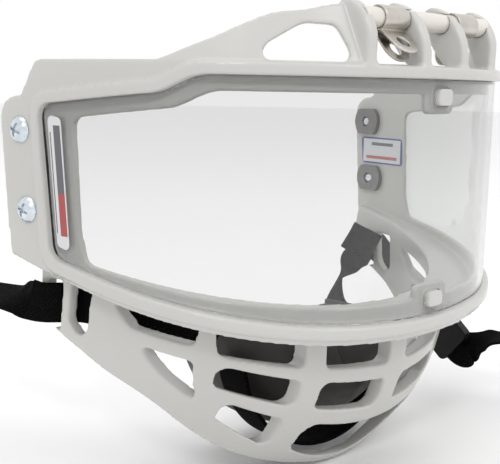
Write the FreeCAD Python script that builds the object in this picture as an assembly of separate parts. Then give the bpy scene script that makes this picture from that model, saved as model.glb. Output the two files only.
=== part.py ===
"""Ice-hockey face shield: a moulded white frame with a chin grille, a clear wrap-around lens,
a hinge rod with two steel clips, temple screws, a chin cup and webbing straps.

Millimetres. While it is modelled, +X is the wearer's left, -Y the front and +Z up, Z = 0 is the top
rim of the lens and Y = 0 is beside the temple screws. Every part is moved on export, so that the
origin of the finished model is the middle of the hinge rod.
"""
import FreeCAD, Part
import math
import os
from FreeCAD import Vector

os.makedirs("parts", exist_ok=True)

# ---- Plan of the lens face: arcs from the middle of the front to the temple ----
LENS_FRONT_Y = -108.3
PLAN_ARCS = ((140.0, 14.3), (85.0, 71.6), (150.0, 80.0))   # radius, heading at the arc's end, degrees
TEMPLE_RUN = 50.0                 # straight run behind the last arc
TEMPLE_HEADING = PLAN_ARCS[-1][1]
REACH = 140.0                     # half-length of a cutting prism, past the whole frame
FRAME_LOW = -110.0                # a wall of full height, before it is trimmed to its outline
FRAME_HIGH = 30.0

# ---- Lens and its seat ----
LENS_THICKNESS = 2.2
LENS_GAP = 0.3                    # between the edge of the lens and the raised ridge
SEAT_BACK = 4.6                   # back of the seat and of the whole frame, behind the lens face
SEAT_FACE = 2.3                   # front of the seat, behind the lens face
RIDGE_PROUD = 2.3                 # the ridge stands this far in front of the lens face
RIDGE_WIDTH = 4.6
RIM_TOP = 5.0                     # top of the rim bar and of the side walls
RIM_SLOPE = 0.206                 # the lower rim climbs towards the temples
RIM_BOTTOM = -88.0                # underside of the ridge below the lens, at the front
LENS_HEIGHT = 85.0                # at the front
STEP_FRONT_Y = -71.0              # the upper rim steps down behind this line
TEMPLE_FACE = 0.6                 # outer face of the temple flanges, from the lens surface
PEG_SIZE = 9.0
PEG_HEIGHT = 6.2
PEG_Z = (-5.9, -79.4)
PEG_CLEARANCE = 0.15
PEG_PROUD = 1.5
TABS = ((-12.0, -4.0, 9.0), (-82.0, -73.6, 10.0))   # behind the pegs: lowest Z, highest Z, half-width

# ---- Chin grille: half-ellipse sections that shrink downwards ----
GRILLE_TOP = -86.0                # height at which the two formulas below start
GRILLE_BACK_Y = 10.0
GRILLE_LOWEST = -158.0
JAW_WALL = 4.5
BAR_DEPTH = 7.0
SHELF = (-87.2, -90.6)            # top and bottom of the shelf under the lens, at the front
BAR_EDGE_SPAN = 70.0              # distance from the middle at which an edge has risen by its full rise
BAR_BACK_Y = -40.0                # the front openings are cut as far back as this
ROW_1 = ((-91.5, 4.5), (-106.5, 9.3))      # upper and lower edge: height in the middle, rise
ROW_2 = ((-113.0, 12.3), (-125.0, 16.2))
ROW_3 = ((-132.5, 19.6), (-151.0, 33.0))
ROW_3_MIDDLE = ((-132.5, 19.6), (-151.0, 45.0))
COLUMNS = ((5.0, 34.5), (42.0, 68.0))      # inner and outer column of openings, from the middle
JAW_OPENINGS = (((-31, -80.5, 1), (-38.5, -89.6, 1), (-58.5, -94.5, 2), (-60.5, -86.5, 1)),
                ((-42, -96, 1), (-48, -106, 20), (-56.5, -117, 1.5), (-58.5, -100.5, 2)))
JAW_INSIDE_X = 40.0               # side openings are cut outwards from here

# ---- Brow guard ----
RIBS = ((11.8, -109.3, -106.3), (37.0, -105.2, -104.0))      # X, Y of the foot, Y of the shoulder
RIB_THICKNESS = 5.0
BEAM_X = 37.0                     # each bridge starts inside the outer rib
BEAM_HEADING = 45.0               # the window of a bridge is cut in this direction
BEAM_WINDOW = ((-10.5, RIM_TOP + 0.3, 2.4), (-12.8, 10.5, 5), (-24.6, 17.6, 8), (-35.6, 17.2, 4),
               (-40.6, 8.5, 3), (-40.0, RIM_TOP + 0.3, 1.5))
ROD_Y = -99.0
ROD_Z = 20.5
ROD_RADIUS = 3.5
ROD_FIT = 0.05
ROD_HALF_LENGTH = 37.0            # it ends inside the outer ribs
ROD_END_GAP = 0.2
ORIGIN = Vector(0, ROD_Y, ROD_Z)

# ---- Hinge clips ----
CLIP_SHEET = 0.8
CLIP_FIT = 0.1
CLIP_WIDTH = 12.6
CLIP_INNER_X = 15.6
CLIP_LEAF = 15.5
CLIP_LEAVES = ((50.0, 4.4), (40.0, 2.4))   # angle below the horizontal, lower face below the axis
CLIP_CORNER = 5.5
CLIP_HOLE_RADIUS = 2.6
CLIP_HOLE_TO_END = 5.2
CLIP_SWUNG_BACK = 50.0            # the left clip hangs this much further down and back

# ---- Temple screws and nut plates ----
SCREW_PLACES = ((2.5, -20.5), (-0.6, -49.6))   # Y and Z of each screw
SCREW_HEAD_RADIUS = 5.15
SCREW_HEAD_HEIGHT = 3.0
SCREW_RADIUS = 2.4
SCREW_HOLE_RADIUS = 2.6
SCREW_LENGTH = 7.1
RECESS_LENGTH = 5.2               # cross recess in each screw head
RECESS_WIDTH = 1.1
RECESS_DEPTH = 1.8
RECESS_TURN = 20.0
NUT_HEIGHT = 13.0
NUT_ROUND = 8.2
NUT_THICKNESS = 2.4
NUT_HOLE_RADIUS = 2.5

# ---- Chin cup: an ellipsoid bowl behind the grille ----
CUP_CENTRE = Vector(0, -32.0, -94.0)
CUP_SIZE = (49.0, 52.0, 52.0)
CUP_TILT = 6.0                    # it hangs higher on the wearer's right
CUP_WALL = 2.5
LINER_THICKNESS = 7.0
CUP_BACK_Y = -18.0
CUP_BRIM_Z = -98.0

# ---- Straps ----
WEBBING = 15.6
WEBBING_THICKNESS = 1.4
SLOT_TOP = -76.5
SLOT_BOTTOM = -95.5
POST_BACK_Y = -8.7                # the rear slot begins behind the post
REAR_SLOT_END_Y = -0.5
FRONT_SLOT = ((-12.5, SLOT_TOP, 1), (-12.5, -91, 4), (-17, SLOT_BOTTOM, 3),
              (-21.5, SLOT_BOTTOM + 1, 3), (-22.5, SLOT_TOP, 1))
REAR_SLOT = ((POST_BACK_Y, SLOT_TOP, 1), (POST_BACK_Y, SLOT_BOTTOM + 0.5, 1),
             (REAR_SLOT_END_Y, SLOT_BOTTOM + 1.5, 1), (REAR_SLOT_END_Y, SLOT_TOP, 1))
UPRIGHT = (0, 0, 1)
SLANT = (0, -0.63, 0.77)          # width direction of the left strap where it hangs forwards
END_WIDTH = (0.84, 0.5, 0.05)     # width direction of its twisted free end
END_FACE = (0.1882, -0.2204, -0.9570)      # the way its outer face points there
SLIDER_LENGTH = 13.0
SLIDER_WIDTH = 21.0
SLIDER_THICKNESS = 5.0
STUD_RADIUS = 6.2
STUD_POST = 1.4
STUD_HOLE = 1.6

# ---- Stickers ----
STICKER = 0.2
STICKER_GAP = 0.02


# ---------------------------------------------------------------- outlines

def rounded_wire(corners):
    """A closed wire in the XY plane through (x, y, radius) corners, with a true arc at each radius."""
    count = len(corners)
    runs = []
    for i, (x, y, radius) in enumerate(corners):
        here = Vector(x, y, 0)
        before = Vector(*corners[i - 1][:2], 0) - here
        after = Vector(*corners[(i + 1) % count][:2], 0) - here
        before.normalize()
        after.normalize()
        half = before.getAngle(after) / 2
        if radius <= 0 or half > math.radians(89.5):
            runs.append((here, None, here))
            continue
        back = radius / math.tan(half)
        middle = (before + after).normalize()
        bulge = here + middle * (radius / math.sin(half) - radius)
        runs.append((here + before * back, bulge, here + after * back))
    edges = []
    for i, (start, bulge, end) in enumerate(runs):
        if bulge is not None:
            edges.append(Part.Arc(start, bulge, end).toShape())
        following = runs[(i + 1) % count][0]
        if (following - end).Length > 1e-6:
            edges.append(Part.LineSegment(end, following).toShape())
    return Part.Wire(edges)


def side_prism(corners, x_from=-REACH, x_to=REACH):
    """A prism along X whose outline is given as (Y, Z, radius) corners."""
    face = Part.Face(rounded_wire(corners))
    face.Placement = FreeCAD.Placement(Vector(x_from, 0, 0), FreeCAD.Rotation(Vector(0, 1, 0),
                                       Vector(0, 0, 1), Vector(1, 0, 0), "XYZ"))
    return face.extrude(Vector(x_to - x_from, 0, 0))


def front_prism(corners, y_from, y_to):
    """A prism along Y whose outline is given as (X, Z, radius) corners."""
    face = Part.Face(rounded_wire(corners))
    face.Placement = FreeCAD.Placement(Vector(0, y_from, 0), FreeCAD.Rotation(Vector(1, 0, 0), 90))
    return face.extrude(Vector(0, y_to - y_from, 0))


def mirrored(shape):
    """The same shape on the other side of the wearer's middle plane."""
    return shape.mirror(Vector(0, 0, 0), Vector(1, 0, 0))


def plan_points(offset):
    """One half of the plan curve, `offset` outside the lens face: arc ends with each arc's middle."""
    x, y, heading = 0.0, LENS_FRONT_Y - offset, 0.0
    points = [Vector(x, y, 0)]
    for radius, end in PLAN_ARCS:
        r = radius + offset
        first = math.radians(heading)
        for angle in (math.radians((heading + end) / 2), math.radians(end)):
            points.append(Vector(x + r * (math.sin(angle) - math.sin(first)),
                                 y + r * (math.cos(first) - math.cos(angle)), 0))
        x, y, heading = points[-1].x, points[-1].y, end
    run = math.radians(TEMPLE_HEADING)
    points.append(Vector(x + TEMPLE_RUN * math.cos(run), y + TEMPLE_RUN * math.sin(run), 0))
    return points


def plan_edges(offset, z):
    """The plan curve at height z, from the right temple round the front to the left temple."""
    lift = Vector(0, 0, z)
    left = [p + lift for p in plan_points(offset)]
    right = [Vector(-p.x, p.y, p.z) for p in left]
    return [Part.LineSegment(right[7], right[6]).toShape(),
            Part.Arc(right[6], right[5], right[4]).toShape(),
            Part.Arc(right[4], right[3], right[2]).toShape(),
            Part.Arc(right[2], left[0], left[2]).toShape(),
            Part.Arc(left[2], left[3], left[4]).toShape(),
            Part.Arc(left[4], left[5], left[6]).toShape(),
            Part.LineSegment(left[6], left[7]).toShape()]


def plan_ring(inner, outer, z):
    """The closed wire of a curved wall's section, between two offsets of the plan curve."""
    front = plan_edges(outer, z)
    back = plan_edges(inner, z)
    right_cap = Part.LineSegment(front[0].Vertexes[0].Point, back[0].Vertexes[0].Point)
    left_cap = Part.LineSegment(front[-1].Vertexes[-1].Point, back[-1].Vertexes[-1].Point)
    return Part.Wire(Part.__sortEdges__(front + back + [right_cap.toShape(), left_cap.toShape()]))


def wall(inner, outer, z_from=FRAME_LOW, z_to=FRAME_HIGH):
    """A vertical wall that follows the lens, between two offsets from the lens face."""
    return Part.Face(plan_ring(inner, outer, z_from)).extrude(Vector(0, 0, z_to - z_from))


def leaning_wall(low, high):
    """A wall that leans: low and high are (inner offset, outer offset, height)."""
    return Part.makeLoft([plan_ring(*low), plan_ring(*high)], True, True)


def sloping_slab(top, bottom):
    """Everything between two heights, given at the front, that climb rearwards with the lower rim."""
    rise = RIM_SLOPE * (REACH - LENS_FRONT_Y)
    fall = RIM_SLOPE * (-REACH - LENS_FRONT_Y)
    return side_prism([(REACH, top + rise, 0), (-REACH, top + fall, 0),
                       (-REACH, bottom + fall, 0), (REACH, bottom + rise, 0)])


def lens_corners(grow):
    """Side outline of the lens as (Y, Z, radius), grown by `grow` on every side."""
    bottom = -LENS_HEIGHT - grow * math.hypot(1, RIM_SLOPE)
    return [(-REACH, grow, 0),
            (STEP_FRONT_Y + grow * 0.25, grow, 14 + grow),
            (-60.0 + grow * 0.25, -6.0 + grow, 14 - grow),
            (-8.3 + grow, -11.3 + grow, 5 + grow * 0.8),
            (-13.6 + grow, -65.5 - grow, 6 + grow * 0.8),
            (-REACH, bottom + RIM_SLOPE * (-REACH - LENS_FRONT_Y), 0)]


# ---------------------------------------------------------------- moulded frame

def peg(z, size_grow, depth_from, depth_to):
    """A rounded square peg on the middle line, between two distances behind the lens face."""
    half = PEG_SIZE / 2 + size_grow
    tall = PEG_HEIGHT / 2 + size_grow
    corners = [(-half, z - tall, 2), (half, z - tall, 2), (half, z + tall, 2), (-half, z + tall, 2)]
    return front_prism(corners, LENS_FRONT_Y + depth_from, LENS_FRONT_Y + depth_to)


def window_corners():
    """Side outline of the opening behind the lens."""
    return [(-REACH, -5.0, 0), (-72.0, -5.0, 12), (-61.5, -10.8, 10), (-22.2, -15.4, 4),
            (-24.6, -56.0, 14), (-27.5, -66.6, 5), (-68.0, -73.3, 60), (-REACH, -84.0, 0)]


def flange_corners():
    """Side outline of the temple part: the side wall above, the screw flange behind."""
    return [(-REACH, RIM_TOP, 0), (-5.5, RIM_TOP, 5), (2.2, -8.0, 3), (14.4, -8.4, 9),
            (9.4, -67.4, 2), (-11.5, -72.6, 6), (-REACH, -99.0, 0)]


def visor_frame():
    """Rim bar, side walls, screw flanges, raised ridge and the seat that the lens lies on."""
    web = wall(-SEAT_BACK, TEMPLE_FACE).common(side_prism(flange_corners()))
    ridge = wall(-SEAT_BACK, RIDGE_PROUD).common(side_prism(lens_corners(RIDGE_WIDTH)))
    pocket = wall(-SEAT_FACE, FRAME_HIGH).common(side_prism(lens_corners(LENS_GAP)))
    frame = web.fuse(ridge).cut(pocket).cut(side_prism(window_corners()))
    seat = wall(-SEAT_BACK, -SEAT_FACE)
    for low, high, half in TABS:
        tab = front_prism([(-half, low, 3), (half, low, 3), (half, high, 3), (-half, high, 3)],
                          LENS_FRONT_Y, LENS_FRONT_Y + SEAT_BACK + 2)
        frame = frame.fuse(tab.common(seat))
    for z in PEG_Z:
        frame = frame.fuse(peg(z, 0.0, -PEG_PROUD, SEAT_BACK - 0.5))
    for hole in screw_holes():
        frame = frame.cut(hole)
    return frame.removeSplitter()


def section_size(z):
    """Half-width and depth of the chin grille's half-ellipse at height z."""
    drop = max(0.0, GRILLE_TOP - z) / 100
    return 98 + 17.5 * drop - 93.6 * drop ** 2, 104 + 15.6 * drop - 79.7 * drop ** 2


def grille_body(side_inset, front_inset):
    """The solid inside the chin grille's surface, inset at the sides and at the front."""
    rings = []
    for z in (-50, -68, -86, -100, -114, -128, -142, GRILLE_LOWEST):
        half_width, depth = section_size(z)
        points = []
        for step in range(-6, 7):
            angle = math.radians(step * 15)
            points.append(Vector((half_width - side_inset) * math.sin(angle),
                                 GRILLE_BACK_Y - (depth - front_inset) * math.cos(angle), z))
        curve = Part.BSplineCurve()
        curve.interpolate(points)
        rings.append(Part.Wire([curve.toShape(), Part.LineSegment(points[-1], points[0]).toShape()]))
    return Part.makeLoft(rings, True, False)


def edge_height(edge, x):
    """Height of a curved bar edge at distance x from the middle, where it is lowest."""
    middle, rise = edge
    return middle + rise * (x / BAR_EDGE_SPAN) ** 2


def grille_opening(x_from, x_to, edges, radius):
    """One opening of the grille, cut from the front: vertical sides, curved top and bottom."""
    upper, lower = edges
    high = [Vector(x, -REACH, edge_height(upper, x)) for x in (x_from, (x_from + x_to) / 2, x_to)]
    low = [Vector(x, -REACH, edge_height(lower, x)) for x in (x_from, (x_from + x_to) / 2, x_to)]
    outline = Part.Wire([Part.Arc(*low).toShape(),
                         Part.LineSegment(low[2], high[2]).toShape(),
                         Part.Arc(*reversed(high)).toShape(),
                         Part.LineSegment(high[0], low[0]).toShape()])
    depth = REACH + BAR_BACK_Y
    prism = Part.Face(outline).extrude(Vector(0, depth, 0))
    corners = [edge for edge in prism.Edges if abs(edge.BoundBox.YLength - depth) < 1e-3
               and edge.BoundBox.XLength < 1e-3 and edge.BoundBox.ZLength < 1e-3]
    return prism.makeFillet(radius, corners)


def grille_cuts():
    """Every opening of the chin grille: three rows in front, jaw openings and strap slots."""
    cuts = []
    for x_from, x_to in COLUMNS:
        cuts.append(grille_opening(x_from, x_to, ROW_1, 2.5))
        cuts.append(grille_opening(x_from, x_to, ROW_2, 3.2))
    cuts.append(grille_opening(COLUMNS[1][0] + 1.5, COLUMNS[1][1] - 4, ROW_3, 2.6))
    for outline in JAW_OPENINGS + (FRONT_SLOT, REAR_SLOT):
        cuts.append(side_prism(outline, JAW_INSIDE_X, REACH))
    cuts += [mirrored(cut) for cut in list(cuts)]
    cuts.append(grille_opening(-COLUMNS[0][1], COLUMNS[0][1], ROW_3_MIDDLE, 5.0))
    return cuts


def chin_grille():
    """The lower half of the moulding: shelf under the lens, jaw plates and the barred chin guard."""
    outline = side_prism([(3.0, -60.0, 0), (4.5, -90.0, 3), (-18.0, -101.0, 30), (-42.0, -116.5, 30),
                          (-60.0, -148.0, 20), (-66.5, -155.5, 3), (-REACH, -155.5, 0),
                          (-REACH, -60.0, 0)])
    core = grille_body(JAW_WALL, BAR_DEPTH)
    shell = grille_body(0, 0).cut(core).common(outline).common(sloping_slab(RIM_BOTTOM, -2 * REACH))
    shelf = wall(-40.0, 0.5).cut(core).common(sloping_slab(*SHELF)).common(outline)
    body = shell.fuse(shelf).cut(visor_frame())
    for cut in grille_cuts():
        body = body.cut(cut)
    return largest(body.removeSplitter())


def largest(shape):
    """The biggest solid of a cut, without any sliver beside it."""
    return max(shape.Solids, key=lambda solid: solid.Volume)


# ---------------------------------------------------------------- brow guard

def rib(x, foot_y, shoulder_y):
    """One hooked brow rib: a fin that rises from the rim bar and curls back over the rod."""
    foot = RIM_TOP - 0.5
    top = Vector(0, -95.0, 26.6)
    nose = Vector(0, -90.4, 22.0)
    edges = [Part.LineSegment(Vector(0, foot_y, foot), Vector(0, foot_y, 9.5)).toShape(),
             Part.Arc(Vector(0, foot_y, 9.5), Vector(0, shoulder_y, 18.6), top).toShape(),
             Part.Arc(top, Vector(0, -91.5, 25.3), nose).toShape(),
             Part.Arc(nose, Vector(0, -95.0, 12.8), Vector(0, foot_y + 7.2, foot)).toShape(),
             Part.LineSegment(Vector(0, foot_y + 7.2, foot), Vector(0, foot_y, foot)).toShape()]
    fin = Part.Face(Part.Wire(edges)).extrude(Vector(RIB_THICKNESS, 0, 0))
    fin.translate(Vector(x - RIB_THICKNESS / 2, 0, 0))
    return fin


def brow_beam():
    """The left bridge that climbs from the side wall to the outer rib, with its window."""
    leaning = leaning_wall((-SEAT_BACK - 0.5, 0.6, RIM_TOP - 0.5), (-14.5, -9.0, 27.0))
    outline = side_prism([(-56.0, RIM_TOP - 0.5, 0), (-58.5, RIM_TOP, 20), (-72.0, 12.5, 20),
                          (-83.5, 21.4, 10), (-88.0, 21.6, 8), (-93.5, 25.0, 6), (-112.0, 25.0, 0),
                          (-112.0, RIM_TOP - 0.5, 0)], BEAM_X, REACH)
    window = front_prism(BEAM_WINDOW, -REACH, 0)
    window.rotate(Vector(0, 0, 0), Vector(0, 0, 1), BEAM_HEADING)
    return leaning.common(outline).cut(window)


def brow_guard(frame):
    """Four ribs and two bridges above the rim bar, bored for the rod."""
    guard = brow_beam()
    guard = guard.fuse(mirrored(guard))
    for x, foot_y, shoulder_y in RIBS:
        for side in (1, -1):
            guard = guard.fuse(rib(side * x, foot_y, shoulder_y))
    rod_hole = rod(ROD_RADIUS + ROD_FIT, ROD_HALF_LENGTH + ROD_END_GAP)
    return guard.cut(rod_hole).cut(frame).removeSplitter()


def rod(radius, half_length):
    """A cylinder along the hinge axis."""
    return Part.makeCylinder(radius, 2 * half_length, Vector(-half_length, ROD_Y, ROD_Z), Vector(1, 0, 0))


def clip_leaf(angle, below):
    """One drilled leaf of a clip: it starts at the rod's axis and points forwards and down."""
    outline = rounded_wire([(0, 0, 0), (CLIP_LEAF, 0, CLIP_CORNER), (CLIP_LEAF, CLIP_WIDTH, CLIP_CORNER),
                            (0, CLIP_WIDTH, 0)])
    leaf = Part.Face(outline).extrude(Vector(0, 0, CLIP_SHEET))
    leaf = leaf.cut(Part.makeCylinder(CLIP_HOLE_RADIUS, 2 * CLIP_SHEET,
                                      Vector(CLIP_LEAF - CLIP_HOLE_TO_END, CLIP_WIDTH / 2, -CLIP_SHEET / 2)))
    leaf.translate(Vector(0, 0, -below))
    tilt = FreeCAD.Placement(Vector(0, 0, 0), FreeCAD.Rotation(Vector(0, 1, 0), angle))
    forwards = FreeCAD.Placement(Vector(CLIP_INNER_X, 0, 0), FreeCAD.Rotation(Vector(0, 0, 1), -90))
    leaf.Placement = forwards.multiply(tilt).multiply(leaf.Placement)
    return leaf


def hinge_clip():
    """Left clip: a strip of sheet rolled round the rod, whose two drilled leaves spread forwards."""
    inner = ROD_RADIUS + CLIP_FIT
    across = Vector(1, 0, 0)
    start = Vector(CLIP_INNER_X, 0, 0)
    clip = Part.makeCylinder(inner + CLIP_SHEET, CLIP_WIDTH, start, across)
    for angle, below in CLIP_LEAVES:
        clip = clip.fuse(clip_leaf(angle, below))
    clip = clip.cut(Part.makeCylinder(inner, CLIP_WIDTH + 4, start - across * 2, across))
    clip.translate(Vector(0, ROD_Y, ROD_Z))
    return clip.removeSplitter()


# ---------------------------------------------------------------- temple fasteners

def temple_frame(y, z, offset):
    """Placement on the left temple, `offset` outside the lens surface: local Z points outwards."""
    start = plan_points(offset)[6]
    heading = math.radians(TEMPLE_HEADING)
    x = start.x + (y - start.y) / math.tan(heading)
    outwards = Vector(math.sin(heading), -math.cos(heading), 0)
    rearwards = Vector(math.cos(heading), math.sin(heading), 0)
    return FreeCAD.Placement(Vector(x, y, z),
                             FreeCAD.Rotation(rearwards, Vector(0, 0, 1), outwards, "ZXY"))


def screw_holes():
    """Clearance holes through both temple flanges."""
    holes = []
    for y, z in SCREW_PLACES:
        hole = Part.makeCylinder(SCREW_HOLE_RADIUS, 30, Vector(0, 0, -15))
        hole.Placement = temple_frame(y, z, TEMPLE_FACE)
        holes += [hole, mirrored(hole)]
    return holes


def temple_screw(y, z):
    """Left pan-head screw with a cross recess, its head on the outer face of the flange."""
    dome_radius = (SCREW_HEAD_RADIUS ** 2 + SCREW_HEAD_HEIGHT ** 2) / (2 * SCREW_HEAD_HEIGHT)
    head = Part.makeSphere(dome_radius, Vector(0, 0, SCREW_HEAD_HEIGHT - dome_radius))
    head = head.common(Part.makeCylinder(SCREW_HEAD_RADIUS, SCREW_HEAD_HEIGHT + 1, Vector(0, 0, 0.05)))
    shank = Part.makeCylinder(SCREW_RADIUS, SCREW_LENGTH + 0.5, Vector(0, 0, -SCREW_LENGTH))
    tip = Part.makeCone(SCREW_RADIUS - 0.7, SCREW_RADIUS, 0.7, Vector(0, 0, -SCREW_LENGTH))
    shank = shank.cut(Part.makeBox(9, 9, 0.7, Vector(-4.5, -4.5, -SCREW_LENGTH))).fuse(tip)
    screw = head.fuse(shank)
    for turn in (0, 90):
        slot = Part.makeBox(RECESS_LENGTH, RECESS_WIDTH, SCREW_HEAD_HEIGHT,
                            Vector(-RECESS_LENGTH / 2, -RECESS_WIDTH / 2, SCREW_HEAD_HEIGHT - RECESS_DEPTH))
        slot.rotate(Vector(0, 0, 0), Vector(0, 0, 1), turn + RECESS_TURN)
        screw = screw.cut(slot)
    screw.Placement = temple_frame(y, z, TEMPLE_FACE)
    return screw.removeSplitter()


def nut_plate(y, z):
    """Left nut plate: flat above and below, rounded ends, on the inner face of the flange."""
    plate = Part.makeCylinder(NUT_ROUND, NUT_THICKNESS)
    plate = plate.common(Part.makeBox(40, NUT_HEIGHT, 10, Vector(-20, -NUT_HEIGHT / 2, -5)))
    plate = plate.cut(Part.makeCylinder(NUT_HOLE_RADIUS, 10, Vector(0, 0, -5)))
    inwards = TEMPLE_FACE + SEAT_BACK + NUT_THICKNESS + STICKER_GAP
    on_axis = FreeCAD.Placement(Vector(0, 0, -inwards), FreeCAD.Rotation())
    plate.Placement = temple_frame(y, z, TEMPLE_FACE).multiply(on_axis)
    return plate


# ---------------------------------------------------------------- lens

def lens():
    """The clear wrap-around lens with its two peg holes."""
    sheet = wall(-LENS_THICKNESS, 0.0).common(side_prism(lens_corners(0.0)))
    for z in PEG_Z:
        sheet = sheet.cut(peg(z, PEG_CLEARANCE, -5.0, 8.0))
    return sheet.removeSplitter()


# ---------------------------------------------------------------- chin cup

def ellipsoid(inset):
    """The chin cup's ellipsoid, made smaller by `inset` all round."""
    ball = Part.makeSphere(1.0)
    scale = FreeCAD.Matrix()
    scale.scale(*[size - inset for size in CUP_SIZE])
    ball = ball.transformGeometry(scale)
    ball.translate(CUP_CENTRE)
    return ball


def bowl(outer_inset, inner_inset, brim_drop):
    """A layer of the chin cup, open above and behind."""
    room = Part.makeBox(120, 60, 80, Vector(-60, CUP_BACK_Y - 60, CUP_BRIM_Z - brim_drop - 80))
    layer = largest(ellipsoid(outer_inset).cut(ellipsoid(inner_inset)).common(room))
    layer.rotate(CUP_CENTRE, Vector(0, 1, 0), CUP_TILT)
    return layer


# ---------------------------------------------------------------- straps

def ribbon(stations):
    """Flat webbing through (centre, width direction) stations, as one closed solid."""
    centres = [Vector(*centre) for centre, across in stations]
    rings = []
    for i, (centre, across) in enumerate(stations):
        along = centres[min(i + 1, len(centres) - 1)] - centres[max(i - 1, 0)]
        normal = along.cross(Vector(*across)).normalize() * (WEBBING_THICKNESS / 2)
        width = normal.cross(along).normalize() * (WEBBING / 2)
        rings.append([centres[i] + width + normal, centres[i] + width - normal,
                      centres[i] - width - normal, centres[i] - width + normal])
    polygons = [rings[0], rings[-1]]
    for near, far in zip(rings, rings[1:]):
        for k in range(4):
            following = (k + 1) % 4
            polygons.append([near[k], near[following], far[following]])
            polygons.append([near[k], far[following], far[k]])
    shell = Part.makeShell([Part.Face(Part.makePolygon(ring + ring[:1])) for ring in polygons])
    shell.sewShape()
    solid = Part.makeSolid(shell)
    if solid.Volume < 0:
        solid.reverse()
    return solid


RIGHT_RUN = ((104.0, 18.0, -86.5), (108.2, 72.0, -89.0))      # straight, as on the wearer's left
RIGHT_WIDTH = (-0.9, 0, 0.43)     # width direction of that run, which lies rather flat
RIGHT_FACE = (0.43, 0, 0.9)       # the way its outer face points
LEFT_RUN = ((104.4, -12.0, -95.5), (103.95, -54.9, -131.5))   # straight, forwards and down
LEFT_END = ((107.0, -76.0, -121.6), (111.0, -97.0, -116.0))   # the twisted free end


def right_strap_stations():
    """The right strap, drawn on the left side: from the cup through the slot, then to the rear."""
    return [((52.0, -43.5, -105.0), UPRIGHT), ((68.0, -37.0, -94.5), UPRIGHT),
            ((84.0, -26.5, -87.5), UPRIGHT), ((87.5, -17.0, -86.2), UPRIGHT),
            ((89.4, -9.2, -86.0), UPRIGHT), ((98.6, -1.6, -86.0), UPRIGHT),
            ((101.6, 3.0, -86.0), UPRIGHT), ((102.7, 9.5, -86.2), (-0.45, 0, 0.8)),
            (RIGHT_RUN[0], RIGHT_WIDTH), (RIGHT_RUN[1], RIGHT_WIDTH)]


def left_strap_stations():
    """The left strap: slack behind the cup, through the slot, then folded to hang forwards."""
    return [((49.0, -44.0, -112.5), UPRIGHT), ((53.5, -27.0, -114.5), (-0.1, 0, 1)),
            ((62.0, -9.0, -110.5), (-0.35, -0.2, 0.9)), ((73.0, -3.0, -99.0), (-0.5, -0.1, 0.8)),
            ((81.5, -5.0, -90.0), (-0.25, 0, 1)), ((89.5, -6.6, -86.2), UPRIGHT),
            ((98.6, -1.6, -86.0), UPRIGHT), ((101.4, 0.2, -86.0), UPRIGHT),
            ((104.2, -0.8, -86.6), (0, -0.1, 1)), ((105.2, -4.4, -89.4), (0, -0.4, 0.9)),
            (LEFT_RUN[0], SLANT), (LEFT_RUN[1], SLANT),
            ((104.7, -62.0, -129.0), (0.3, -0.2, 0.85)),
            ((105.8, -68.5, -124.6), (0.7, 0.3, 0.4)),
            (LEFT_END[0], END_WIDTH), (LEFT_END[1], END_WIDTH)]


def run_placement(run, distance, outwards=(1, 0, 0)):
    """Placement on a straight run: local X along it, Y across the webbing, Z outwards."""
    start = Vector(*run[0])
    along = (Vector(*run[1]) - start).normalize()
    across = Vector(*outwards).cross(along).normalize()
    return FreeCAD.Placement(start + along * distance,
                             FreeCAD.Rotation(along, across, along.cross(across), "XZY"))


def strap_slider(placement):
    """A moulded keeper with a raised bar; the webbing runs through its slot."""
    half = SLIDER_WIDTH / 2
    outline = rounded_wire([(-SLIDER_LENGTH / 2, -half, 3), (SLIDER_LENGTH / 2, -half, 3),
                            (SLIDER_LENGTH / 2, half, 3), (-SLIDER_LENGTH / 2, half, 3)])
    body = Part.Face(outline).extrude(Vector(0, 0, SLIDER_THICKNESS))
    body.translate(Vector(0, 0, -SLIDER_THICKNESS / 2))
    slot_width = WEBBING + 1.0
    slot_height = WEBBING_THICKNESS + 0.8
    body = body.cut(Part.makeBox(40, slot_width, slot_height, Vector(-20, -slot_width / 2,
                                                                     -slot_height / 2)))
    for x in (-3.6, 3.6):
        pocket = Part.makeBox(3.2, slot_width - 2, 5, Vector(x - 1.6, 1 - slot_width / 2, 0))
        body = body.cut(pocket)
    body.Placement = placement
    return body


def press_stud(placement):
    """Cap, post and socket of a press stud through the webbing."""
    gap = WEBBING_THICKNESS / 2 + 0.05
    cap = Part.makeCylinder(STUD_RADIUS, 1.6, Vector(0, 0, gap))
    cap = cap.makeFillet(0.9, [cap.Edges[0]])
    post = Part.makeCylinder(STUD_POST, 2 * gap + 1, Vector(0, 0, -gap - 0.5))
    socket = Part.makeCylinder(STUD_RADIUS - 1.2, 2.6, Vector(0, 0, -gap - 2.6))
    socket = socket.cut(Part.makeCylinder(2.2, 1.6, Vector(0, 0, -gap - 2.6)))
    stud = cap.fuse(post).fuse(socket)
    stud.Placement = placement
    return stud


def stud_hole(placement):
    """The hole in the webbing for the post of a press stud."""
    hole = Part.makeCylinder(STUD_HOLE, 6, Vector(0, 0, -3))
    hole.Placement = placement
    return hole


def chin_webbing():
    """The cradle strap under the chin cup, from side to side."""
    stations = []
    for step in range(-8, 9):
        angle = math.radians(step * 10.5)
        stations.append(((50.5 * math.sin(angle), -53.5, -100.5 - 48.5 * math.cos(angle)), (0, 1, 0)))
    return ribbon(stations)


# ---------------------------------------------------------------- stickers

def lens_label():
    """Plain strip sticker on the right rear edge of the lens."""
    outline = side_prism([(-11.5, -14.5, 2), (-15.8, -61.5, 2), (-22.0, -63.0, 2), (-18.2, -15.5, 2)],
                         -REACH, 0)
    return wall(STICKER_GAP, STICKER_GAP + STICKER).common(outline)


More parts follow.
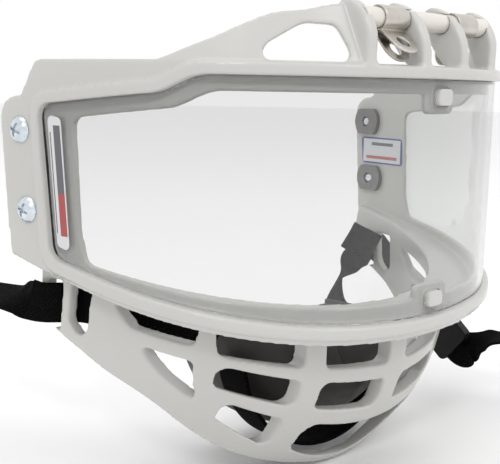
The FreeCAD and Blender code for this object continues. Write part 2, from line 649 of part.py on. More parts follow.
def rating_sticker():
    """Plain rectangular sticker on the inner face of the left temple, between the nut plates."""
    outer = -SEAT_BACK - STICKER_GAP
    outline = side_prism([(-22.2, -42.0, 2), (6.5, -42.0, 2), (8.0, -28.5, 2), (-21.2, -28.5, 2)],
                         0, REACH)
    return wall(outer - STICKER, outer).common(outline)


# ---------------------------------------------------------------- export

def save(name, shape):
    """Move a part to the model's origin and write it."""
    moved = shape.copy()
    moved.translate(Vector(0, 0, 0) - ORIGIN)
    moved.exportStep("parts/" + name + ".step")
    print(name, len(moved.Solids), moved.isValid(), round(moved.Volume / 1000, 2))


def main():
    frame = visor_frame()
    save("visor_frame", frame)
    save("brow_guard", brow_guard(frame))
    save("chin_grille", chin_grille())
    save("lens", lens())
    save("hinge_rod", rod(ROD_RADIUS, ROD_HALF_LENGTH))
    clip = hinge_clip()
    save("hinge_clip_right", mirrored(clip))
    clip.rotate(ORIGIN, Vector(1, 0, 0), CLIP_SWUNG_BACK)
    save("hinge_clip_left", clip)
    for place, (y, z) in zip(("upper", "lower"), SCREW_PLACES):
        screw = temple_screw(y, z)
        plate = nut_plate(y, z)
        save("temple_screw_left_" + place, screw)
        save("temple_screw_right_" + place, mirrored(screw))
        save("nut_plate_left_" + place, plate)
        save("nut_plate_right_" + place, mirrored(plate))
    save("chin_cup", bowl(0.0, CUP_WALL, 0.0))
    save("chin_liner", bowl(CUP_WALL + 0.1, CUP_WALL + LINER_THICKNESS, 0.5))
    save("chin_webbing", chin_webbing())
    right_stud = run_placement(RIGHT_RUN, 47.0, RIGHT_FACE)
    save("chin_strap_right", mirrored(ribbon(right_strap_stations()).cut(stud_hole(right_stud))))
    left_stud = run_placement(LEFT_END, 12.0, END_FACE)
    save("chin_strap_left", ribbon(left_strap_stations()).cut(stud_hole(left_stud)))
    save("strap_stud_right", mirrored(press_stud(right_stud)))
    save("strap_stud_left", press_stud(left_stud))
    save("strap_slider_right", mirrored(strap_slider(run_placement(RIGHT_RUN, 30.0, RIGHT_FACE))))
    save("strap_slider_left", strap_slider(run_placement(LEFT_RUN, 48.8)))
    save("lens_label", lens_label())
    save("rating_sticker", rating_sticker())


main()
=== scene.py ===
"""Looks of the ice-hockey face shield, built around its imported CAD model.

The row frame is in metres: +X is the wearer's left, -Y the front, +Z up, and the origin is the
middle of the hinge rod. Straps are laid out in the part's own millimetres and placed with at().
"""

import math

import bmesh
import bpy
from mathutils import Matrix, Vector


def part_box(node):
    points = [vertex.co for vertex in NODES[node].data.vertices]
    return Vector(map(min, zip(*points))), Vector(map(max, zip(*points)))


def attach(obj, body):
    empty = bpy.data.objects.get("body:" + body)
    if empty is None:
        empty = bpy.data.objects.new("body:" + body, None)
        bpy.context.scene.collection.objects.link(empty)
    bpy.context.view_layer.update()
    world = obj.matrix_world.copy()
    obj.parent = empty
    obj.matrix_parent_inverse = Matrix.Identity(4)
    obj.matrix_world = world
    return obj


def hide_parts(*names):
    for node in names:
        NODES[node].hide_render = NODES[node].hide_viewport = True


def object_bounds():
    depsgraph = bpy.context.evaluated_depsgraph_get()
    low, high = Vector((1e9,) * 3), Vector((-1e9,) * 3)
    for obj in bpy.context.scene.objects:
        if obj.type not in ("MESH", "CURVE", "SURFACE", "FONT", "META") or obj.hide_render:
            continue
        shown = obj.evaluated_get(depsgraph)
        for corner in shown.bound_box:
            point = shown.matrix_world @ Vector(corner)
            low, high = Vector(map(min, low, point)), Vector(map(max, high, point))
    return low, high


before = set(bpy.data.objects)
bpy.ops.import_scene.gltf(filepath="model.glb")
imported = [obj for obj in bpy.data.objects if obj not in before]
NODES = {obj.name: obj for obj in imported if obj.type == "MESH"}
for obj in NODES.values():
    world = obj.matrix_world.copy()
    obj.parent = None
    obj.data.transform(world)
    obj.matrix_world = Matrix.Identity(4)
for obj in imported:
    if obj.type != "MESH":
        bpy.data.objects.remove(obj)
cad_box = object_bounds()

MM = 0.001
PART_ORIGIN = Vector((0, -99.0, 20.5))      # the hinge rod's middle, in the part's own millimetres


# how each piece is moulded: voxel size, and the smoothing passes that round its edges
SHELL_FINISH = (0.6 * MM, 14)
ROD_FINISH = (0.3 * MM, 6)
CLIP_FINISH = (0.17 * MM, 4)
SCREW_FINISH = (0.15 * MM, 4)
PLATE_FINISH = (0.22 * MM, 4)
CUP_FINISH = (0.8 * MM, 6)
PAD_FINISH = (2.6 * MM, 4)
SLIDER_FINISH = (0.28 * MM, 3)
STUD_FINISH = (0.2 * MM, 4)

SIDES = ("left", "right")


def at(x, y, z):
    """A point given in the part's own millimetres, in the row frame in metres."""
    return (Vector((x, y, z)) - PART_ORIGIN) * MM


# ---------------------------------------------------------------- shader helpers

def node(tree, kind, **inputs):
    """A new shader node; keywords name its input sockets, with _ for a space."""
    made = tree.nodes.new("ShaderNode" + kind)
    for name, value in inputs.items():
        made.inputs[name.replace("_", " ")].default_value = value
    return made


def principled(name, colour, roughness, metallic=0.0, **inputs):
    """A material with one Principled shader; returns the material, its tree and the shader.

    colour and roughness are its average values, which most materials then vary with noise.
    """
    made = bpy.data.materials.new(name)
    made.use_nodes = True
    tree = made.node_tree
    shader = tree.nodes["Principled BSDF"]
    shader.inputs["Base Color"].default_value = (*colour, 1)
    shader.inputs["Roughness"].default_value = roughness
    shader.inputs["Metallic"].default_value = metallic
    for key, value in inputs.items():
        shader.inputs[key.replace("_", " ")].default_value = value
    return made, tree, shader


def object_noise(tree, scale, detail=4.0, stretch=(1, 1, 1)):
    """Noise in the piece's own coordinates, stretched along its axes; returns the value socket."""
    place = tree.nodes.new("ShaderNodeTexCoord")
    mapping = node(tree, "Mapping", Scale=stretch)
    noise = node(tree, "TexNoise", Scale=scale, Detail=detail)
    tree.links.new(place.outputs["Object"], mapping.inputs["Vector"])
    tree.links.new(mapping.outputs["Vector"], noise.inputs["Vector"])
    return noise.outputs["Fac"]


def math_node(tree, operation, *operands):
    """A Math node; each operand is a socket or a number."""
    made = tree.nodes.new("ShaderNodeMath")
    made.operation = operation
    for i, value in enumerate(operands):
        if isinstance(value, (int, float)):
            made.inputs[i].default_value = value
        else:
            tree.links.new(value, made.inputs[i])
    return made.outputs["Value"]


def wave(tree, distance, pitch):
    """A sine of a distance socket; its pitch is in metres."""
    return math_node(tree, "SINE", math_node(tree, "MULTIPLY", distance, 2 * math.pi / pitch))


MIX_FACTOR, MIX_FIRST, MIX_SECOND, MIX_RESULT = 0, 6, 7, 2      # a Mix node's colour sockets


def mixed_colour(tree, factor, first, second):
    """Colour that goes from first to second with a factor socket; first may be a socket too."""
    mix = tree.nodes.new("ShaderNodeMix")
    mix.data_type = "RGBA"
    if isinstance(first, tuple):
        mix.inputs[MIX_FIRST].default_value = (*first, 1)
    else:
        tree.links.new(first, mix.inputs[MIX_FIRST])
    mix.inputs[MIX_SECOND].default_value = (*second, 1)
    tree.links.new(factor, mix.inputs[MIX_FACTOR])
    return mix.outputs[MIX_RESULT]


def colour_between(tree, shader, factor, dark, light):
    """Base colour that goes from dark to light with a factor socket."""
    tree.links.new(mixed_colour(tree, factor, dark, light), shader.inputs["Base Color"])


def roughness_between(tree, shader, factor, low, high):
    """Roughness that goes from low to high with a factor socket."""
    span = node(tree, "MapRange", From_Min=0.3, From_Max=0.7, To_Min=low, To_Max=high)
    tree.links.new(factor, span.inputs["Value"])
    tree.links.new(span.outputs["Result"], shader.inputs["Roughness"])


def bump(tree, shader, height, strength, distance):
    """Relief from a height socket; distance is in metres."""
    made = node(tree, "Bump", Strength=strength, Distance=distance)
    tree.links.new(height, made.inputs["Height"])
    tree.links.new(made.outputs["Normal"], shader.inputs["Normal"])


# ---------------------------------------------------------------- materials

def shell_plastic():
    """Off-white moulded polycarbonate: glossy, with faint flow marks and a soft orange peel."""
    made, tree, shader = principled("shell_plastic", (0.50, 0.495, 0.475), 0.26, IOR=1.5,
                                    Subsurface_Weight=0.06, Subsurface_Scale=0.004)
    shader.inputs["Subsurface Radius"].default_value = (1.0, 0.9, 0.75)
    flow = object_noise(tree, 22.0, 3.0, (1, 1, 2.5))
    colour_between(tree, shader, flow, (0.490, 0.484, 0.462), (0.520, 0.515, 0.498))
    roughness_between(tree, shader, object_noise(tree, 160.0), 0.15, 0.24)
    bump(tree, shader, object_noise(tree, 420.0, 2.0), 0.06, 0.05 * MM)
    return made


def clear_polycarbonate():
    """Clear lens with a slight grey tint; lamps shine through it."""
    made, tree, shader = principled("clear_polycarbonate", (0.80, 0.807, 0.80), 0.02, IOR=1.5,
                                    Transmission_Weight=1.0)
    roughness_between(tree, shader, object_noise(tree, 45.0, 2.0), 0.004, 0.02)
    open_way = node(tree, "BsdfTransparent", Color=(1, 1, 1, 1))
    ray = tree.nodes.new("ShaderNodeLightPath")
    choose = tree.nodes.new("ShaderNodeMixShader")
    output = tree.nodes["Material Output"]
    tree.links.new(ray.outputs["Is Shadow Ray"], choose.inputs["Fac"])
    tree.links.new(shader.outputs["BSDF"], choose.inputs[1])
    tree.links.new(open_way.outputs["BSDF"], choose.inputs[2])
    tree.links.new(choose.outputs["Shader"], output.inputs["Surface"])
    return made


def satin_rod():
    """Cream-white coated rod with fine drawing lines along X."""
    made, tree, shader = principled("satin_rod", (0.66, 0.63, 0.58), 0.3, Coat_Weight=0.3)
    lines = object_noise(tree, 300.0, 3.0, (0.05, 1, 1))
    colour_between(tree, shader, lines, (0.58, 0.55, 0.50), (0.74, 0.71, 0.66))
    roughness_between(tree, shader, lines, 0.22, 0.40)
    bump(tree, shader, lines, 0.15, 0.05 * MM)
    return made


def brushed_steel():
    """Stainless sheet, brushed across the clip, with a few dull patches."""
    made, tree, shader = principled("brushed_steel", (0.55, 0.52, 0.48), 0.3, 1.0)
    brush = object_noise(tree, 900.0, 4.0, (0.04, 1, 1))
    colour_between(tree, shader, object_noise(tree, 120.0, 5.0),
                   (0.44, 0.41, 0.37), (0.70, 0.67, 0.62))
    roughness_between(tree, shader, brush, 0.20, 0.42)
    bump(tree, shader, brush, 0.25, 0.04 * MM)
    return made


def zinc_plate():
    """Bright zinc with a blue cast and grey stains."""
    made, tree, shader = principled("zinc_plate", (0.66, 0.72, 0.77), 0.2, 1.0)
    colour_between(tree, shader, object_noise(tree, 380.0, 6.0),
                   (0.42, 0.48, 0.54), (0.86, 0.90, 0.93))
    roughness_between(tree, shader, object_noise(tree, 900.0), 0.12, 0.34)
    bump(tree, shader, object_noise(tree, 1500.0, 3.0), 0.12, 0.03 * MM)
    return made


def grey_steel():
    """Plain pressed steel of the nut plates."""
    made, tree, shader = principled("grey_steel", (0.2, 0.195, 0.19), 0.4, 1.0)
    colour_between(tree, shader, object_noise(tree, 420.0, 6.0),
                   (0.13, 0.125, 0.12), (0.27, 0.265, 0.26))
    roughness_between(tree, shader, object_noise(tree, 700.0), 0.3, 0.52)
    bump(tree, shader, object_noise(tree, 1200.0), 0.2, 0.05 * MM)
    return made


CHEVRON_WIDTH = 2.6 * MM
RIB_PITCH = 1.7 * MM
YARN_PITCH = 0.65 * MM
YARN_RELIEF = 0.35                # height of the yarns against the ribs
WEAVE_TO_FACTOR = 0.37            # brings ribs and yarns together to between 0 and 1


def herringbone_webbing():
    """Black nylon webbing: chevron ribs across the width, from the strap's own UVs in metres."""
    made, tree, shader = principled("herringbone_webbing", (0.006, 0.0056, 0.0056), 0.75,
                                    Specular_IOR_Level=0.04)
    uv = tree.nodes.new("ShaderNodeUVMap")
    axes = tree.nodes.new("ShaderNodeSeparateXYZ")
    tree.links.new(uv.outputs["UV"], axes.inputs["Vector"])
    zigzag = math_node(tree, "PINGPONG", axes.outputs["X"], CHEVRON_WIDTH)
    ribs = wave(tree, math_node(tree, "ADD", axes.outputs["Y"], zigzag), RIB_PITCH)
    yarns = wave(tree, axes.outputs["X"], YARN_PITCH)
    height = math_node(tree, "ADD", ribs, math_node(tree, "MULTIPLY", yarns, YARN_RELIEF))
    lift = math_node(tree, "MULTIPLY_ADD", height, WEAVE_TO_FACTOR, 0.5)
    fuzz = math_node(tree, "MULTIPLY", lift, object_noise(tree, 700.0, 3.0))
    colour_between(tree, shader, fuzz, (0.0012, 0.0011, 0.0011), (0.011, 0.010, 0.0096))
    roughness_between(tree, shader, lift, 0.68, 0.88)
    bump(tree, shader, height, 0.75, 0.16 * MM)
    return made


def black_nylon():
    """Moulded black nylon of the sliders, with a fine spark-eroded grain."""
    made, tree, shader = principled("black_nylon", (0.006, 0.006, 0.006), 0.34,
                                    Specular_IOR_Level=0.2)
    colour_between(tree, shader, object_noise(tree, 140.0),
                   (0.004, 0.004, 0.004), (0.010, 0.0096, 0.0096))
    roughness_between(tree, shader, object_noise(tree, 900.0), 0.26, 0.46)
    bump(tree, shader, object_noise(tree, 1800.0, 2.0), 0.25, 0.04 * MM)
    return made


def stud_enamel():
    """Black enamelled press stud, worn a little grey."""
    made, tree, shader = principled("stud_enamel", (0.02, 0.02, 0.02), 0.22, Coat_Weight=0.4)
    wear = object_noise(tree, 520.0, 6.0)
    colour_between(tree, shader, wear, (0.012, 0.012, 0.013), (0.06, 0.058, 0.055))
    roughness_between(tree, shader, wear, 0.16, 0.38)
    return made


def closed_cell_foam():
    """Charcoal foam with a brushed skin, finer pores and paler rubbed patches."""
    made, tree, shader = principled("closed_cell_foam", (0.045, 0.042, 0.039), 0.8,
                                    Sheen_Weight=0.15, Sheen_Roughness=0.6, Specular_IOR_Level=0.3)
    patches = object_noise(tree, 75.0, 5.0)
    pores = object_noise(tree, 1400.0, 3.0)
    both = math_node(tree, "MULTIPLY", patches, math_node(tree, "ADD", pores, 0.5))
    colour_between(tree, shader, both, (0.018, 0.0165, 0.0155), (0.070, 0.064, 0.059))
    roughness_between(tree, shader, patches, 0.68, 0.88)
    bump(tree, shader, math_node(tree, "ADD", pores, math_node(tree, "MULTIPLY", patches, 3.0)),
         0.5, 0.18 * MM)
    return made


def cup_shell():
    """Black moulded cup behind the grille, with a leathery grain."""
    made, tree, shader = principled("cup_shell", (0.035, 0.033, 0.031), 0.55)
    cells = node(tree, "TexVoronoi", Scale=900.0)
    place = tree.nodes.new("ShaderNodeTexCoord")
    tree.links.new(place.outputs["Object"], cells.inputs["Vector"])
    colour_between(tree, shader, object_noise(tree, 60.0, 4.0),
                   (0.030, 0.028, 0.026), (0.062, 0.057, 0.053))
    roughness_between(tree, shader, object_noise(tree, 200.0), 0.48, 0.68)
    bump(tree, shader, cells.outputs["Distance"], 0.35, 0.08 * MM)
    return made


def printed_film(name, colour, lean, prints):
    """White film with plain rectangles: each is (rear, front, low, high, ink), in metres.

    rear and front are along Y, low and high are heights; lean is the change of Y with height.
    """
    made, tree, shader = principled(name, colour, 0.35, Coat_Weight=0.3, Coat_Roughness=0.1)
    place = tree.nodes.new("ShaderNodeTexCoord")
    axes = tree.nodes.new("ShaderNodeSeparateXYZ")
    tree.links.new(place.outputs["Object"], axes.inputs["Vector"])
    height = axes.outputs["Z"]
    across = math_node(tree, "SUBTRACT", axes.outputs["Y"],
                       math_node(tree, "MULTIPLY", height, lean))
    printed = colour
    for rear, front, low, high, ink in prints:
        between = math_node(tree, "MULTIPLY", math_node(tree, "LESS_THAN", across, rear),
                            math_node(tree, "GREATER_THAN", across, front))
        level = math_node(tree, "MULTIPLY", math_node(tree, "GREATER_THAN", height, low),
                          math_node(tree, "LESS_THAN", height, high))
        printed = mixed_colour(tree, math_node(tree, "MULTIPLY", between, level), printed, ink)
    tree.links.new(printed, shader.inputs["Base Color"])
    roughness_between(tree, shader, object_noise(tree, 500.0), 0.28, 0.42)
    return made


def floor_paper():
    """Pale studio paper."""
    made, tree, shader = principled("floor_paper", (0.90, 0.90, 0.90), 0.8,
                                    Specular_IOR_Level=0.1)
    colour_between(tree, shader, object_noise(tree, 3.0),
                   (0.885, 0.885, 0.885), (0.915, 0.915, 0.915))
    return made


# ---------------------------------------------------------------- mesh helpers

def add_piece(name, mesh, look, body, replaced=()):
    """A new object that rides on a body, with its material and the CAD nodes it stands for."""
    piece = bpy.data.objects.new(name, mesh)
    bpy.context.scene.collection.objects.link(piece)
    mesh.materials.clear()
    mesh.materials.append(look)
    mesh.shade_smooth()
    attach(piece, body)
    if replaced:
        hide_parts(*replaced)
    return piece


def merged_copy(names):
    """One mesh from several CAD nodes, with each node's split vertices joined."""
    joined = bmesh.new()
    for name in names:
        joined.from_mesh(NODES[name].data)
    bmesh.ops.remove_doubles(joined, verts=joined.verts, dist=0.001 * MM)
    mesh = bpy.data.meshes.new("merged")
    joined.to_mesh(mesh)
    joined.free()
    return mesh


def with_modifiers(mesh, modifiers):
    """The mesh after a list of (modifier type, settings)."""
    holder = bpy.data.objects.new("holder", mesh)
    bpy.context.scene.collection.objects.link(holder)
    for kind, settings in modifiers:
        modifier = holder.modifiers.new(kind.lower(), kind)
        for key, value in settings.items():
            setattr(modifier, key, value)
    bpy.context.view_layer.update()
    depsgraph = bpy.context.evaluated_depsgraph_get()
    made = bpy.data.meshes.new_from_object(holder.evaluated_get(depsgraph))
    bpy.data.objects.remove(holder)
    return made


def softened(nodes, finish):
    """The union of CAD nodes as one mesh with softened edges; finish is (voxel, smoothing)."""
    voxel, smoothing = finish
    return with_modifiers(merged_copy(nodes), [
        ("REMESH", {"mode": "VOXEL", "voxel_size": voxel, "adaptivity": 0.0}),
        ("SMOOTH", {"factor": 0.5, "iterations": smoothing})])


def moulded(name, nodes, look, body, finish):
    """CAD nodes as one smooth moulding, which stands for them."""
    add_piece(name, softened(nodes, finish), look, body, nodes)


def carried_over(name, look):
    """A CAD node that keeps its own mesh and gets a better material."""
    materials = NODES[name].data.materials
    materials.clear()
    materials.append(look)


# ---------------------------------------------------------------- straps

WEBBING_WIDTH = 15.6 * MM
WEBBING_THICKNESS = 1.4 * MM
FLAT_STEPS = 10                   # faces across each flat side of the webbing
EDGE_TURNS = (45, 90, 135)        # degrees round its half-round edge


def smooth_path(stations, steps):
    """Catmull-Rom curve through the stations' centres; returns (point, width direction) pairs."""
    centres = [Vector(centre) for centre, across in stations]
    widths = [Vector(across).normalized() for centre, across in stations]
    path = []
    for i in range(len(stations) - 1):
        before = centres[max(i - 1, 0)]
        start, end = centres[i], centres[i + 1]
        after = centres[min(i + 2, len(centres) - 1)]
        for k in range(steps + (i == len(stations) - 2)):
            t = k / steps
            point = 0.5 * (2 * start + (end - before) * t
                           + (2 * before - 5 * start + 4 * end - after) * t ** 2
                           + (3 * start - before - 3 * end + after) * t ** 3)
            path.append((point, widths[i].lerp(widths[i + 1], t * t * (3 - 2 * t))))
    return path


def webbing_section():
    """Half-round-edged section of the webbing: (across, through) for each point, in metres."""
    edge = WEBBING_THICKNESS / 2
    flat = WEBBING_WIDTH / 2 - edge
    half = [(flat * (1 - 2 * k / FLAT_STEPS), edge) for k in range(FLAT_STEPS + 1)]
    for turn in EDGE_TURNS:
        angle = math.radians(turn)
        half.append((-flat - edge * math.sin(angle), edge * math.cos(angle)))
    return half + [(-x, -y) for x, y in half]


def webbing_strap(name, stations, look, replaced=(), steps=14):
    """Flat woven strap through (centre, width direction) stations, with UVs in metres."""
    path = smooth_path([(at(*centre), across) for centre, across in stations], steps)
    section = webbing_section()
    mesh_data = bmesh.new()
    rings = []
    length = 0.0
    lengths = []
    for i, (point, across) in enumerate(path):
        along = (path[min(i + 1, len(path) - 1)][0] - path[max(i - 1, 0)][0]).normalized()
        normal = along.cross(across).normalized()
        width = normal.cross(along).normalized()
        rings.append([mesh_data.verts.new(point + width * x + normal * y) for x, y in section])
        if i:
            length += (point - path[i - 1][0]).length
        lengths.append(length)
    uv = mesh_data.loops.layers.uv.new("webbing")
    count = len(section)
    for i in range(len(rings) - 1):
        for k in range(count):
            following = (k + 1) % count
            face = mesh_data.faces.new((rings[i][k], rings[i][following],
                                        rings[i + 1][following], rings[i + 1][k]))
            places = ((k, i), (following, i), (following, i + 1), (k, i + 1))
            for loop, (place, ring) in zip(face.loops, places):
                loop[uv].uv = (section[place][0] + WEBBING_WIDTH, lengths[ring])
    for ring in (rings[0], list(reversed(rings[-1]))):
        mesh_data.faces.new(ring)
    bmesh.ops.recalc_face_normals(mesh_data, faces=mesh_data.faces)
    mesh = bpy.data.meshes.new(name)
    mesh_data.to_mesh(mesh)
    mesh_data.free()
    add_piece(name, mesh, look, "root", replaced)


def mirror_stations(stations):
    """The same strap on the wearer's other side."""
    return [((-x, y, z), (-u, v, w)) for (x, y, z), (u, v, w) in stations]


# ---------------------------------------------------------------- pieces

LENS_FRONT_Y = -108.3             # the lens's foremost line, in the part's own millimetres
LENS_ARCS = ((140.0, 14.3), (85.0, 71.6), (150.0, 80.0))      # radius, heading at the arc's end
BIG_FACE = 0.7                    # cosine that tells the lens's big faces from its edges


def lens_normal(x, y):
    """Outward direction of the lens at a plan point in the part's own millimetres."""
    arc_x, arc_y = 0.0, LENS_FRONT_Y
    start = 0.0
    for radius, degrees in LENS_ARCS:
        end = math.radians(degrees)
        centre_x = arc_x - radius * math.sin(start)
        centre_y = arc_y + radius * math.cos(start)
        heading = math.atan2(abs(x) - centre_x, centre_y - y)
        if heading <= end:
            break
        heading = end
        arc_x = centre_x + radius * math.sin(end)
        arc_y = centre_y - radius * math.cos(end)
        start = end
    return Vector((math.copysign(math.sin(heading), x), -math.cos(heading), 0))


def make_lens():
    """The clear lens: its CAD mesh with the exact normals of its curve on the two big faces."""
    mesh = merged_copy(("lens",))
    add_piece("clear_lens", mesh, clear_polycarbonate(), "root", ("lens",))
    normals = []
    for face in mesh.polygons:
        for corner in face.loop_indices:
            spot = mesh.vertices[mesh.loops[corner].vertex_index].co / MM + PART_ORIGIN
            outwards = lens_normal(spot.x, spot.y)
            facing = face.normal.dot(outwards)
            if abs(facing) > BIG_FACE:
                normals.append(math.copysign(1, facing) * outwards)
            else:
                normals.append(face.normal.copy())
    mesh.normals_split_custom_set(normals)


def make_shell():
    """The white moulding as one piece, its lens and its hinge rod."""
    moulded("frame_shell", ("visor_frame", "brow_guard", "chin_grille"), shell_plastic(), "root",
            SHELL_FINISH)
    make_lens()
    moulded("hinge_bar", ("hinge_rod",), satin_rod(), "root", ROD_FINISH)


def make_fasteners():
    """Clips, screws and nut plates, with their edges softened."""
    steel = brushed_steel()
    zinc = zinc_plate()
    grey = grey_steel()
    for side in SIDES:
        moulded("clip_" + side, ("hinge_clip_" + side,), steel, "clip_" + side,
                CLIP_FINISH)
        for place in ("upper", "lower"):
            label = side + "_" + place
            moulded("pan_screw_" + label, ("temple_screw_" + label,), zinc, "root",
                    SCREW_FINISH)
            moulded("threaded_plate_" + label, ("nut_plate_" + label,), grey, "root",
                    PLATE_FINISH)


PAD_PRESSURE = 4.0
PAD_LIMIT = 1.6 * MM              # how far a point of the chin pad may swell
PAD_FRAMES = 16                   # length of its cloth simulation


def swollen_pad(name, node_name, look):
    """The foam liner: a copy of its CAD solid, puffed by cloth simulation within a limit."""
    mesh = softened((node_name,), PAD_FINISH)
    pad = bpy.data.objects.new(name, mesh)
    bpy.context.scene.collection.objects.link(pad)
    rest = [v.co.copy() for v in mesh.vertices]
    cloth = pad.modifiers.new("cloth", "CLOTH")
    cloth.settings.use_pressure = True
    cloth.settings.uniform_pressure_force = PAD_PRESSURE
    cloth.settings.effector_weights.gravity = 0.0
    cloth.point_cache.frame_end = PAD_FRAMES
    for step in range(1, PAD_FRAMES + 1):
        bpy.context.scene.frame_set(step)
    depsgraph = bpy.context.evaluated_depsgraph_get()
    swollen = bpy.data.meshes.new_from_object(pad.evaluated_get(depsgraph))
    for vertex, start in zip(swollen.vertices, rest):
        move = vertex.co - start
        if move.length > PAD_LIMIT:
            vertex.co = start + move.normalized() * PAD_LIMIT
    bpy.context.scene.frame_set(1)
    mesh = swollen
    bpy.data.objects.remove(pad)
    mesh = with_modifiers(mesh, [("SMOOTH", {"factor": 0.5, "iterations": 2}),
                                 ("SUBSURF", {"levels": 1, "render_levels": 1})])
    piece = add_piece(name, mesh, look, "root", (node_name,))


def make_chin_cup():
    """The chin cup and its foam liner."""
    moulded("chin_cup_shell", ("chin_cup",), cup_shell(), "root", CUP_FINISH)
    swollen_pad("chin_pad", "chin_liner", closed_cell_foam())


CRADLE_STATIONS = 8               # on each side of the lowest one
CRADLE_TURN = 10.5                # degrees between them
CRADLE_Y, CRADLE_Z = -53.5, -100.5            # centre of the cradle's arc
CRADLE_REACH, CRADLE_DROP = 50.5, 48.5        # the arc's radii, sideways and down

# Stations of the chin straps: centre, and direction of the strap's width. The right strap's are
# given on the wearer's left and mirrored.
UPRIGHT = (0, 0, 1)
INNER_RIGHT = [((50.5, -43.5, -102.0), UPRIGHT), ((68.0, -37.0, -91.5), UPRIGHT),
               ((84.0, -26.5, -85.0), UPRIGHT), ((87.5, -17.0, -85.2), UPRIGHT),
               ((89.4, -9.2, -85.6), UPRIGHT), ((98.6, -1.6, -85.6), UPRIGHT)]
FLAT = (-0.93, 0, 0.37)           # width direction of the near strap behind its slot
OUTER_RIGHT = [((101.6, 3.0, -85.0), (-0.2, 0, 1)), ((102.7, 8.5, -84.6), (-0.75, 0, 0.66)),
               ((104.0, 18.0, -85.8), FLAT), ((105.9, 42.0, -87.6), FLAT),
               ((108.2, 72.0, -89.0), FLAT)]
INNER_LEFT = [((49.0, -44.0, -112.5), UPRIGHT), ((53.5, -27.0, -114.5), (0, -0.2, 1)),
              ((62.0, -9.0, -110.5), (0.12, -0.65, 0.75)), ((73.0, -3.0, -99.0), (-0.1, -0.5, 0.8)),
              ((81.5, -5.0, -90.0), (-0.25, 0, 1)), ((89.5, -6.6, -86.2), UPRIGHT),
              ((98.6, -1.6, -86.0), UPRIGHT)]
SLANT = (0, -0.63, 0.77)          # width direction of the far strap along its slider
FREE_END = (0.84, 0.5, 0.05)      # width direction of the far strap's twisted end
OUTER_LEFT = [((101.4, 0.2, -86.0), UPRIGHT), ((104.2, -0.8, -86.6), (0, -0.1, 1)),
              ((105.2, -4.4, -89.4), (0, -0.4, 0.9)), ((104.4, -12.0, -95.5), SLANT),
              ((104.2, -33.0, -113.2), SLANT), ((103.95, -54.9, -131.5), SLANT),
              ((104.7, -62.0, -129.0), (0.3, -0.2, 0.85)),
              ((105.8, -68.5, -124.6), (0.7, 0.3, 0.4)),
              ((107.0, -76.0, -121.6), FREE_END), ((111.0, -97.0, -116.0), FREE_END)]
TAIL_WIDTH = (0.25, -0.6, -0.5)   # width direction of the far strap's tail inside the jaw
TAIL_LEFT = [((86.8, -9.5, -74.5), TAIL_WIDTH), ((84.2, -8.0, -80.0), TAIL_WIDTH),
             ((81.0, -5.2, -87.5), (0.3, -0.5, -0.6))]


def cradle_stations():
    """The cradle strap's arc under the chin cup, from side to side."""
    stations = []
    for step in range(-CRADLE_STATIONS, CRADLE_STATIONS + 1):
        angle = math.radians(step * CRADLE_TURN)
        centre = (CRADLE_REACH * math.sin(angle), CRADLE_Y,
                  CRADLE_Z - CRADLE_DROP * math.cos(angle))
        stations.append((centre, (0, 1, 0)))
    return stations


def make_straps():
    """The chin straps, the cradle strap, their sliders and studs."""
    weave = herringbone_webbing()
    webbing_strap("near_chin_strap", mirror_stations(INNER_RIGHT + OUTER_RIGHT), weave,
                  ("chin_strap_right",))
    webbing_strap("far_chin_strap", INNER_LEFT + OUTER_LEFT, weave, ("chin_strap_left",))
    webbing_strap("far_strap_tail", TAIL_LEFT, weave)
    webbing_strap("cradle_strap", cradle_stations(), weave, ("chin_webbing",), steps=6)
    nylon = black_nylon()
    enamel = stud_enamel()
    for side in SIDES:
        moulded("slider_buckle_" + side, ("strap_slider_" + side,), nylon, "slider_" + side,
                SLIDER_FINISH)
        moulded("snap_stud_" + side, ("strap_stud_" + side,), enamel, "root", STUD_FINISH)


LABEL_LEAN = 0.085                # change of Y with height along the strip on the lens
FINE_LINE = (0.0898, 0.0893)      # rear and front of the strip's thin line, along Y
WIDE_BARS = (0.0879, 0.0845)      # and of its two bars
STICKER_BORDER = 0.8 * MM         # top and bottom; the sides are twice as wide


def make_stickers():
    """Plain printed bars in place of lettering."""
    low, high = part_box("lens_label")
    tall = high.z - low.z
    grey = (0.10, 0.10, 0.11)
    red = (0.34, 0.05, 0.05)
    label = printed_film("lens_label_film", (0.60, 0.60, 0.61), LABEL_LEAN, [
        (*FINE_LINE, low.z + 0.12 * tall, low.z + 0.88 * tall, grey),
        (*WIDE_BARS, low.z + 0.42 * tall, low.z + 0.93 * tall, grey),
        (*WIDE_BARS, low.z + 0.10 * tall, low.z + 0.42 * tall, red)])
    carried_over("lens_label", label)
    low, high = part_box("rating_sticker")
    edge = STICKER_BORDER
    navy = (0.04, 0.06, 0.26)
    faded_red = (0.42, 0.10, 0.10)
    charcoal = (0.12, 0.12, 0.13)
    rating = printed_film("rating_sticker_film", (0.62, 0.63, 0.66), 0.0, [
        (high.y - 4 * MM, low.y + 4 * MM, low.z + 2.4 * MM, low.z + 4.0 * MM, faded_red),
        (high.y - 7 * MM, low.y + 7 * MM, high.z - 4.2 * MM, high.z - 2.6 * MM, charcoal),
        (high.y, low.y, low.z, low.z + edge, navy),
        (high.y, low.y, high.z - edge, high.z, navy),
        (low.y + 2 * edge, low.y, low.z, high.z, navy),
        (high.y, high.y - 2 * edge, low.z, high.z, navy)])
    carried_over("rating_sticker", rating)


# ---------------------------------------------------------------- studio

CAMERA_PLACE = (-0.2756, -0.1939, -0.0232)
CAMERA_ANGLES = (44.34, 9.3, -1.07)           # degrees: turn from +Y to +X, fall, roll
FOCAL_LENGTH = 64.8                           # millimetres, on a sensor FILM_WIDTH wide
FILM_WIDTH = 36.0
FLOOR_RADIUS = 6.0
FLOOR_GAP = 0.5 * MM                          # below the lowest point of the CAD


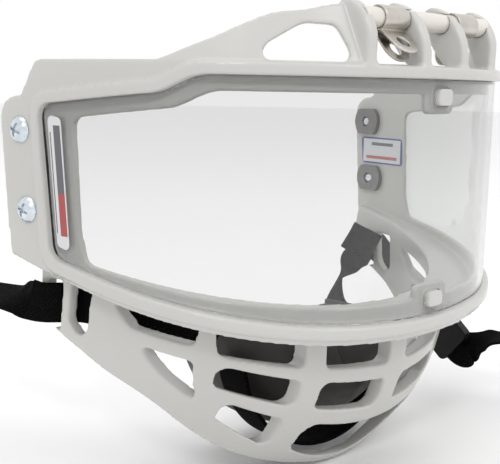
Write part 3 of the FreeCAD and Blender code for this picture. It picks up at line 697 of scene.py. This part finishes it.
def photo_camera():
    """Camera at the photograph's angle: on the wearer's right, near brow height, looking down."""
    turn, fall, roll = (math.radians(angle) for angle in CAMERA_ANGLES)
    ahead = Vector((math.sin(turn) * math.cos(fall), math.cos(turn) * math.cos(fall),
                    -math.sin(fall)))
    level = Vector((math.cos(turn), -math.sin(turn), 0))
    down = ahead.cross(level)
    right = math.cos(roll) * level + math.sin(roll) * down
    under = -math.sin(roll) * level + math.cos(roll) * down
    data = bpy.data.cameras.new("camera")
    data.sensor_width = FILM_WIDTH
    data.lens = FOCAL_LENGTH
    camera = bpy.data.objects.new("camera", data)
    turned = Matrix((right, -under, -ahead)).transposed().to_4x4()
    camera.matrix_world = Matrix.Translation(CAMERA_PLACE) @ turned
    bpy.context.scene.collection.objects.link(camera)
    bpy.context.scene.camera = camera


def soft_light(name, place, target, size, power):
    """A square white softbox that faces a point; size in metres, power in watts."""
    data = bpy.data.lights.new(name, "AREA")
    data.size = size
    data.energy = power
    lamp = bpy.data.objects.new(name, data)
    lamp.location = place
    aim = Vector(target) - Vector(place)
    lamp.rotation_euler = aim.to_track_quat("-Z", "Y").to_euler()
    bpy.context.scene.collection.objects.link(lamp)


def make_studio():
    """White surround, pale floor under the lowest point, and soft lights."""
    scene = bpy.context.scene
    scene.view_settings.view_transform = "Standard"
    world = bpy.data.worlds.new("surround")
    world.use_nodes = True
    background = world.node_tree.nodes["Background"]
    background.inputs["Color"].default_value = (1.0, 1.0, 1.0, 1)
    background.inputs["Strength"].default_value = 1.0
    scene.world = world
    mesh = bpy.data.meshes.new("floor")
    sheet = bmesh.new()
    bmesh.ops.create_circle(sheet, cap_ends=True, segments=96, radius=FLOOR_RADIUS)
    sheet.to_mesh(mesh)
    sheet.free()
    floor = bpy.data.objects.new("floor", mesh)
    floor.location = (0, 0, cad_box[0].z - FLOOR_GAP)
    mesh.materials.append(floor_paper())
    scene.collection.objects.link(floor)
    middle = (0, 0.05, -0.08)
    soft_light("key", (0.55, -1.2, 1.1), middle, 0.9, 5.0)
    soft_light("top", (-0.3, 0.1, 1.4), middle, 1.0, 3.0)
    soft_light("glint", (-1.0, -0.7, 0.9), middle, 0.16, 3.0)


photo_camera()
make_shell()
make_fasteners()
make_chin_cup()
make_straps()
make_stickers()
make_studio()
